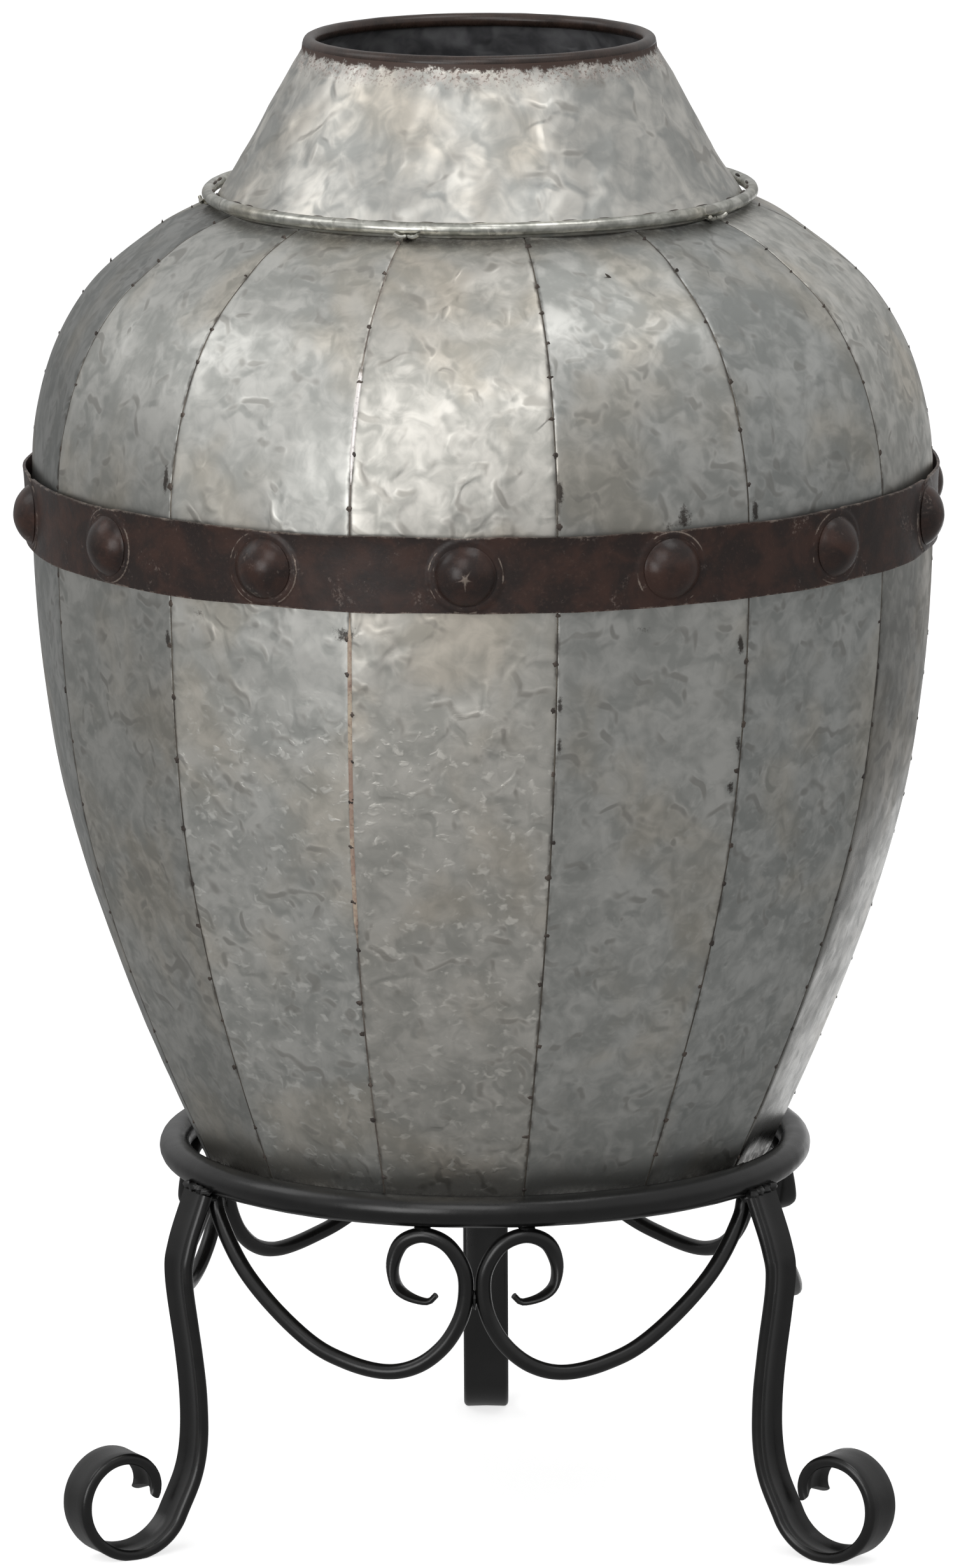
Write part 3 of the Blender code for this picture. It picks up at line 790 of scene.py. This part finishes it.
def make_band(paint):
    """The hoop: pulled in at each stud, its top edge standing off, a washer's step round each stud."""
    low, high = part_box("belly_band")
    middle, half = (low.z + high.z) / 2, (high.z - low.z) / 2
    around, levels = STAVES * 96, 36
    rows, aways, rims = [], [], []
    for i in range(levels + 1):
        t = 1 - 2 * i / levels
        row = []
        for j in range(around):
            angle = FULL_TURN * j / around
            nearest = STUD_PHASE + round((angle - STUD_PHASE) / STAVE_SHARE) * STAVE_SHARE
            aside = (angle - nearest) * BAND_RADIUS
            flat = at(angle, BAND_RADIUS, 0)
            height = middle + t * half + t * t * 0.6 * MM * grain(flat, 26 * MM, 3 + math.copysign(2, t))
            away = math.hypot(aside, height - middle)
            washer = smoothstep((WASHER_RADIUS + 0.3 * MM - away) / (0.6 * MM))
            r = BAND_RADIUS - 0.7 * MM * math.exp(-((aside / (26 * MM)) ** 2))
            r += 0.5 * MM * grain(flat, 45 * MM, 9) + 0.75 * MM * max(0, t) ** 3
            r += 0.6 * MM * washer + 0.12 * MM * grain(at(angle, BAND_RADIUS, height), 12 * MM, 6)
            row.append(at(angle, r, height))
            aways.append(away)
            rims.append((1 - abs(t)) * half)
        rows.append(row)
    mesh = grid_mesh("belly_band", rows, wrap_columns=True)
    set_attribute(mesh, "away", aways)
    set_attribute(mesh, "rim", rims)
    finish_piece("belly_band_hoop", mesh, "urn", paint, ["belly_band"], BAND_SHEET)


def stud_mesh(index):
    """Dome with a rolled edge, shank through the sheets, and the spread tail inside."""
    sphere = (STUD_RADIUS ** 2 + STUD_RISE ** 2) / (2 * STUD_RISE)
    edge = math.asin(STUD_RADIUS / sphere)
    profile = [
        (sphere * math.sin(edge * step / 12), sphere * math.cos(edge * step / 12) - sphere + STUD_RISE)
        for step in range(1, 13)
    ]
    profile += millimetres([(12.05, -0.15), (11.9, -0.4), (2, -0.4), (2, -6.2)])
    profile += millimetres([(3.2, -6.3), (3.4, -6.9), (2.6, -7.5), (0.6, -7.6)])
    angle = stud_angle(index)
    stand = Matrix.Translation(at(angle, BAND_RADIUS + 0.25 * MM, stud_height())) @ turned_to(angle)
    stand = stand @ Matrix.Rotation(math.pi / 2, 4, "Y")
    rows, wear_and_highlight = [], []
    for radius, rise in [(0.5 * MM, STUD_RISE), *profile]:
        row = []
        for j in range(40):
            turn = FULL_TURN * j / 40
            x, y = radius * math.cos(turn), radius * math.sin(turn)
            # A star-shaped bare patch at the dome's middle is a painted highlight, strong on the front stud
            # and faint on the rest.
            spike = max(0, math.cos(5 * turn + index)) ** 3
            painted_highlight_star = math.exp(-radius / ((2.4 + 3.8 * spike) * MM))
            dent = 0.16 * MM * grain((x, y, rise), 6 * MM, index * 3) if rise > 0 else 0
            row.append(stand @ Vector((x, y, rise + dent)))
            worn_edge = 0.2 if -0.2 * MM < rise < 0.9 * MM else 0
            wear_and_highlight.append((0.75 if index == 0 else 0.15) * painted_highlight_star + worn_edge)
        rows.append(row)
    mesh = grid_mesh(f"stud_{index}", rows, wrap_columns=True, caps=True)
    set_attribute(mesh, "wear_and_highlight", wear_and_highlight)
    return mesh


def stud_height():
    low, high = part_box("belly_band")
    return (low.z + high.z) / 2


def make_studs(paint):
    for index in range(STAVES):
        name = f"stud_{index + 1:02}"
        finish_piece(name + "_head", stud_mesh(index), "urn", paint, [name])


def hammered(point):
    """Height over the floors of overlapping hammer blows, 0 at the middle of a blow."""
    distances, _ = noise.voronoi(point / HAMMER_SPACING)
    return distances[0] ** 2


def make_neck(steel, rim, ring_steel, tack):
    line = smooth_line(NECK_OUTLINE, 1.6 * MM)
    lip = [(1.03, 0.2), (1.08, 1.4)]  # share of the rim's tube outward, and millimetres below its middle
    lip = [Vector((RIM_RADIUS + RIM_TUBE * share, RIM_HEIGHT - drop * MM, 0)) for share, drop in lip]
    line = [*lip, *line]
    along = (line[-1] - line[2]).normalized()
    out = Vector((-along.y, along.x))
    rows = []
    around = 420
    for point in line:
        above_foot, below_lip = point.y - line[-1].y, line[0].y - point.y
        calm = smoothstep(above_foot / (5 * MM)) * smoothstep(below_lip / (9 * MM))
        row = []
        for j in range(around):
            angle = FULL_TURN * j / around
            spot = at(angle, point.x, point.y)
            dent = 0.6 * MM * (hammered(spot) - 0.25) + 0.7 * MM * grain(spot, 24 * MM, 4)
            row.append(spot + at(angle, out.x, out.y) * dent * calm)
        rows.append(row)
    mesh = grid_mesh("neck_cone", rows, wrap_columns=True)
    finish_piece("neck_cone_sheet", mesh, "urn", steel, ["neck_cone"], NECK_SHEET)
    mesh = torus_mesh("rim", RIM_RADIUS, RIM_TUBE, RIM_HEIGHT, 200, 20, 0.12 * MM)
    finish_piece("rim_tube_roll", mesh, "urn", rim, ["rim_tube"])
    mesh = torus_mesh("neck_ring", NECK_RING_RADIUS, NECK_RING_TUBE, NECK_RING_HEIGHT, 260, 18, 0.12 * MM)
    finish_piece("neck_ring_wire", mesh, "urn", ring_steel, ["neck_ring"])
    make_neck_stitches(tack)


def make_neck_stitches(tack):
    """Short dark welds in the groove between the neck ring and the cone."""
    random.seed(11)
    count = 38
    welds = []
    for index in range(count):
        angle = FULL_TURN * (index + random.uniform(-0.25, 0.25)) / count
        length = random.uniform(4.5, 8) * MM / NECK_RING_RADIUS
        path = [
            at(angle + length * (step / 4 - 0.5), NECK_RING_RADIUS - 1.9 * MM, NECK_RING_HEIGHT + 2.0 * MM)
            for step in range(5)
        ]
        radii = [(r * MM, r * MM) for r in (0.3, 0.55, 0.6, 0.55, 0.3)]
        welds.append(tube_mesh("stitch", path, radii, 8))
    finish_piece("neck_stitches", join_meshes("neck_stitches", welds), "urn", tack)


def make_clips(steel):
    """Wire ties: a hook round the neck ring and two tails splayed under it."""
    reach = NECK_RING_TUBE + CLIP_WIRE + 0.2 * MM
    for index in range(CLIPS):
        matrix = turned_to(CLIP_PHASE + index * FULL_TURN / CLIPS)
        centre = Vector((NECK_RING_RADIUS, 0, NECK_RING_HEIGHT))
        meshes = []
        for side in (-1, 1):
            path = []
            for step in range(13):
                turn = math.radians(-150 + step * 8)
                lift = side * 0.85 * MM
                path.append(centre + Vector((reach * math.cos(turn), lift, reach * math.sin(turn))))
            last = path[-1]
            for step in range(1, 9):
                t = step / 8
                rise = -1.5 * t + 2.6 * t * t
                path.append(last + Vector((1.2 * MM * t, side * (4.2 + index % 2) * MM * t, rise * MM)))
            path = [matrix @ p for p in path]
            meshes.append(tube_mesh("tail", path, [(CLIP_WIRE, CLIP_WIRE)] * len(path), 8))
        name = f"neck_clip_{index + 1}"
        finish_piece(name + "_wire", join_meshes(name, meshes), "urn", steel, [name])


def make_base_plate(steel):
    """The floor of the urn, cut to fit inside the staves, with a shallow pressed step."""
    low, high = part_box("base_plate")
    outer = STAVE_OUTLINE[-1][0] - STAVE_SHEET - 0.3 * MM
    seams = [seam_angle(index, low.z) for index in range(-1, STAVES)]
    rows = []
    shares = [0.02, 0.3, 0.6, 0.80, 0.84, 0.88, 0.95, 0.99, 1.0]
    rises = [0, 0, 0, 0, 0.4, 0.8, 0.8, 0.8, 0.6]
    layers = [(s, high.z - 0.9 * MM + r * MM) for s, r in zip(shares, rises)]
    layers += [(s, low.z + 0.1 * MM + max(0, r - 0.1) * MM) for s, r in reversed(list(zip(shares, rises)))]
    for share, height in layers:
        row = []
        for left, right in zip(seams, seams[1:]):
            for step in range(12):
                turn = (step / 12 - 0.5) * (right - left)
                radius = flattened(outer, turn, (right - left) / 2)
                row.append(at((left + right) / 2 + turn, radius * share, height))
        rows.append(row)
    mesh = grid_mesh("base_plate", rows, wrap_columns=True, caps=True)
    finish_piece("base_plate_disc", mesh, "urn", steel, ["base_plate"], sharp=60)


# ---------------------------------------------------------------- stand


def leg_section():
    """The strip's outline, across and depth: a trough on its face, rounded edges, a flat back."""
    half = LEG_WIDTH / 2
    bead = LEG_EDGE / 2
    face = [(-0.55 + 1.1 * k / 8) for k in range(9)]
    points = [(share * half, -bead + (LEG_EDGE - LEG_WEB) * (1 - (share / 0.72) ** 2)) for share in face]
    for side in (1, -1):
        turns = range(-70, 91, 20) if side == 1 else range(90, -71, -20)
        for turn in turns:
            bulge = 0.8 * bead * math.cos(math.radians(turn))
            points.append((side * (half - bead * 0.8 + bulge), bead * math.sin(math.radians(turn))))
        if side == 1:
            points += [(0.4 * half, bead * 0.97), (0, bead * 0.94), (-0.4 * half, bead * 0.97)]
    return points


def foot_curl():
    points = []
    for step in range(FOOT_STEPS + 1):
        share = step / FOOT_STEPS
        turn = FOOT_START + (FOOT_END - FOOT_START) * share
        radius = FOOT_OUTER + (FOOT_INNER - FOOT_OUTER) * share ** 2
        points.append((FOOT_CENTRE[0] + radius * math.cos(turn), FOOT_CENTRE[1] + radius * math.sin(turn)))
    return points


def leg_mesh(name, degrees):
    """The strip swept along stem and curl, its end cut to a hollow arc, its foot dressed flat."""
    line = smooth_line([*LEG_STEM, *foot_curl()], 2 * MM)
    lengths = np.concatenate([[0], np.cumsum([(b - a).length for a, b in zip(line, line[1:])])])
    total = lengths[-1]
    xs, zs = np.array([p.x for p in line]), np.array([p.y for p in line])
    section = leg_section()
    notch, notch_from = 3.4 * MM, total - 16 * MM
    angle = math.radians(degrees)
    matrix = turned_to(angle)
    rows = []
    for s in np.linspace(0, total, 170):
        row = []
        for across, depth in section:
            hollow = notch * (1 - min(1, abs(across) / (LEG_WIDTH / 2)) ** 2)
            place = s - hollow * max(0, s - notch_from) / (total - notch_from)
            ahead, behind = min(place + 0.5 * MM, total), max(place - 0.5 * MM, 0)
            dx = np.interp(ahead, lengths, xs) - np.interp(behind, lengths, xs)
            dz = np.interp(ahead, lengths, zs) - np.interp(behind, lengths, zs)
            size = math.hypot(dx, dz)
            back = Vector((dz / size, 0, -dx / size))
            spot = Vector((np.interp(place, lengths, xs), across, np.interp(place, lengths, zs)))
            spot += back * depth * (1 + 0.05 * grain(spot, 17 * MM, degrees))
            spot.z = max(0, spot.z)
            row.append(matrix @ spot)
        rows.append(row)
    return grid_mesh(name, rows, wrap_columns=True, caps=True)


def make_legs(paint):
    for name, degrees in LEGS.items():
        finish_piece(name + "_strip", leg_mesh(name, degrees), "stand", paint, [name], sharp=50)


def scroll_mesh(name, middle, side, stretch):
    """Round wire on the ring's cylinder, its last stretch hammered to a flat tongue with a hooked tip."""
    flat = [(RING_RADIUS * math.radians(degrees), height * MM) for degrees, height in SCROLL_PATH]
    line = smooth_line(flat, 1.5 * MM)
    path = [at(middle + side * stretch * p.x / RING_RADIUS, RING_RADIUS, p.y) for p in line]
    count = len(path) - 1
    radii = []
    for i in range(count + 1):
        drawn = smoothstep((i / count - 0.86) / 0.08)
        tip = smoothstep((i / count - 0.93) / 0.07)
        wide = WIRE_RADIUS * (1 + 0.7 * drawn - 0.9 * tip)
        thin = WIRE_RADIUS * (1 - 0.5 * drawn - 0.1 * tip)
        radii.append((thin, wide))

    def across(point):
        return Vector((point[0], point[1], 0)).normalized()

    return tube_mesh(name, path, radii, 14, across)


def make_scrolls(paint):
    left, right, rear = (math.radians(degrees) for degrees in LEGS.values())
    gaps = {"front": (left, right), "right": (right, rear), "left": (rear, left + FULL_TURN)}
    for gap, (start, end) in gaps.items():
        middle = (start + end) / 2
        stretch = ((end - start) / 2 - WIRE_START) / SCROLL_REACH
        for number, side in enumerate((-1, 1), start=1):
            name = f"scroll_{gap}_{number}"
            mesh = scroll_mesh(name, middle, side, stretch)
            finish_piece(name + "_wire", mesh, "stand", paint, [name], sharp=60)


def make_ring(paint):
    mesh = torus_mesh("stand_ring", RING_RADIUS, RING_TUBE, RING_HEIGHT, 300, 24, 0.12 * MM)
    finish_piece("stand_ring_rod", mesh, "stand", paint, ["stand_ring"])


def make_welds(paint):
    """Weld metal where legs, wires and tabs meet the ring and each other; sizes are half widths in mm."""
    random.seed(3)
    blobs = []

    def weld(angle, radius, height, sizes):
        place = at(angle, radius, height)
        sizes = [size * MM for size in sizes]
        blobs.append(blob_mesh(place, sizes, turned_to(angle), 0.45, random.uniform(0, 50)))

    angles = [math.radians(degrees) for degrees in LEGS.values()]
    ring_inside = RING_RADIUS - RING_TUBE + 0.4 * MM
    for angle in angles:
        for aside in (-7, -2.5, 2.5, 7):
            weld(angle + aside * MM / RING_RADIUS, 133.2 * MM, 148.8 * MM, (2.4, 2.9, 1.9))
        for aside in (-6, 6):
            weld(angle + aside * MM / RING_RADIUS, ring_inside, 150.4 * MM, (1.6, 2.6, 1.3))
        for aside in (-4, 0.5, 4.5):
            weld(angle + aside * MM / RING_RADIUS, 121.3 * MM, 155.6 * MM, (1.3, 2.8, 1.9))
        for aside in (-1, 1):
            weld(angle + aside * math.radians(2.2), 128.5 * MM, 145.8 * MM, (3.2, 2.2, 2.2))
    gaps = zip(angles, [*angles[1:], angles[0] + FULL_TURN])
    for start, end in gaps:
        middle = (start + end) / 2
        stretch = ((end - start) / 2 - WIRE_START) / SCROLL_REACH
        weld(middle, RING_RADIUS, 117 * MM, (2.6, 0.8, 4.2))
        for side in (-1, 1):
            weld(middle + side * stretch * math.radians(9.3), RING_RADIUS, 146.2 * MM, (2.4, 3.6, 1.2))
    finish_piece("stand_welds", join_meshes("stand_welds", blobs), "stand", paint)


def finish_tabs(paint):
    """The seat tabs stay as the frame has them, with their edges rounded."""
    for index in (1, 2, 3):
        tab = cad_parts[f"seat_tab_{index}"]
        tab.data.materials.clear()
        tab.data.materials.append(paint)
        bevel = tab.modifiers.new("Edges", "BEVEL")
        bevel.width = 0.7 * MM
        bevel.segments = 3


# ---------------------------------------------------------------- stage


LAMP_TARGET = Vector((0, 0, 0.35))
LAMP_DISTANCE = 2.5
LAMP_SIZE = 1.2
LAMPS = [  # name, direction round from the front and up in degrees, watts
    ("key_high", -10, 40, 7.6),
    ("key_low", -30, 8, 12.6),
    ("side_left", -90, 40, 5.6),
    ("low_back", 163, -14, 3.0),
    ("top", 60, 72, 7.8),
]
ROOM_BELOW, ROOM_ABOVE = 0.28, 0.52
ROOM_SEEN = 1.0  # the room's walls as the camera itself sees them, past the floor's edge


def area_light(name, place, power):
    """A square soft lamp that shines at the object's middle and isn't itself seen."""
    data = bpy.data.lights.new(name, "AREA")
    data.shape = "SQUARE"
    data.size = LAMP_SIZE
    data.energy = power
    lamp = bpy.data.objects.new(name, data)
    lamp.location = place
    lamp.visible_camera = False
    lamp.rotation_mode = "QUATERNION"
    lamp.rotation_quaternion = (LAMP_TARGET - place).to_track_quat("-Z", "Y")
    bpy.context.scene.collection.objects.link(lamp)


def fill(node, socket, value):
    node.inputs[socket].default_value = value


def make_stage():
    """A white floor that throws no light back up, a dim room, and soft lamps."""
    bpy.ops.mesh.primitive_plane_add(size=60)
    floor = bpy.context.active_object
    floor.name = "floor"
    material = bpy.data.materials.new("floor_pale")
    material.use_nodes = True
    shader = material.node_tree.nodes["Principled BSDF"]
    fill(shader, "Base Color", (0.8, 0.8, 0.8, 1))
    fill(shader, "Roughness", 0.95)
    fill(shader, "Specular IOR Level", 0.0)
    fill(shader, "Emission Color", (1, 1, 1, 1))
    fill(shader, "Emission Strength", 0.72)
    floor.data.materials.append(material)
    # The floor is for the camera only, so the metal reflects the dim room below the horizon.
    floor.visible_diffuse = False
    floor.visible_glossy = False
    floor.visible_shadow = False
    make_room()
    for name, azimuth, elevation, power in LAMPS:
        turn, tilt = math.radians(azimuth), math.radians(elevation)
        place = LAMP_TARGET + at(turn, LAMP_DISTANCE * math.cos(tilt), LAMP_DISTANCE * math.sin(tilt))
        area_light(name, place, power)


def make_room():
    """Light from all round: dim below the horizon, brighter above it; white where it is looked at."""
    world = bpy.data.worlds.new("studio")
    world.use_nodes = True
    tree = world.node_tree
    direction = tree.nodes.new("ShaderNodeTexCoord")
    split = tree.nodes.new("ShaderNodeSeparateXYZ")
    tree.links.new(direction.outputs["Generated"], split.inputs[0])
    ramp = tree.nodes.new("ShaderNodeMapRange")
    ramp.interpolation_type = "SMOOTHSTEP"
    fill(ramp, "From Min", -0.15)
    fill(ramp, "From Max", 0.35)
    fill(ramp, "To Min", ROOM_BELOW)
    fill(ramp, "To Max", ROOM_ABOVE)
    tree.links.new(split.outputs["Z"], ramp.inputs["Value"])
    background = tree.nodes["Background"]
    fill(background, "Color", (1, 1, 1, 1))
    path = tree.nodes.new("ShaderNodeLightPath")
    seen = tree.nodes.new("ShaderNodeMix")
    fill(seen, "B", ROOM_SEEN)
    tree.links.new(path.outputs["Is Camera Ray"], seen.inputs["Factor"])
    tree.links.new(ramp.outputs["Result"], seen.inputs["A"])
    tree.links.new(seen.outputs["Result"], background.inputs["Strength"])
    bpy.context.scene.world = world


def make_camera():
    data = bpy.data.cameras.new("camera")
    data.lens = CAMERA_LENS
    data.clip_end = 100
    camera = bpy.data.objects.new("camera", data)
    turn = Matrix.Rotation(-CAMERA_YAW, 4, "Z") @ Matrix.Rotation(math.pi / 2 - CAMERA_PITCH, 4, "X")
    camera.matrix_world = Matrix.Translation(CAMERA_PLACE) @ turn @ Matrix.Rotation(CAMERA_ROLL, 4, "Z")
    bpy.context.scene.collection.objects.link(camera)
    bpy.context.scene.camera = camera
    bpy.context.scene.view_settings.view_transform = "Standard"


def main():
    light, dark = (0.70, 0.695, 0.665), (0.45, 0.455, 0.435)
    staves = galvanised("galvanised_staves", light, dark, 0.43, 13 * MM, 0.2 * MM, sheets=True)
    cone_light = tinted(light, (1.1, 1.08, 1.05))
    cone = galvanised("galvanised_cone", cone_light, dark, 0.42, 17 * MM, 0.26 * MM, top_paint=True)
    wire_light, wire_dark = tinted(light, (1.1, 1.1, 1.06)), tinted(dark, (0.85, 0.85, 0.8))
    wire = galvanised("galvanised_wire", wire_light, wire_dark, 0.3, 8 * MM, 0.05 * MM)
    plate = galvanised("galvanised_plate", scaled(light, 0.85), dark, 0.45, 10 * MM, 0.12 * MM)
    band_paint = brown_paint("dark_brown_paint", 0.42, hoop=True)
    stud_paint = brown_paint("stud_brown_paint", 0.28)
    black = black_paint("black_paint")
    solder = seam_metal("seam_solder", (0.06, 0.053, 0.045), (0.2, 0.18, 0.15), 0.5)
    bright = seam_metal("seam_solder_bright", (0.12, 0.10, 0.085), (0.35, 0.31, 0.27), 0.4, zones=True)
    tack = seam_metal("tack_welds", (0.04, 0.032, 0.028), (0.17, 0.14, 0.12), 0.5)
    make_staves(staves)
    make_seams(solder, bright, tack)
    make_band(band_paint)
    make_studs(stud_paint)
    make_neck(cone, rim_paint("rim_brown_paint"), wire, tack)
    make_clips(wire)
    make_base_plate(plate)
    make_ring(black)
    make_legs(black)
    make_scrolls(black)
    make_welds(black)
    finish_tabs(black)
    make_stage()
    make_camera()


main()
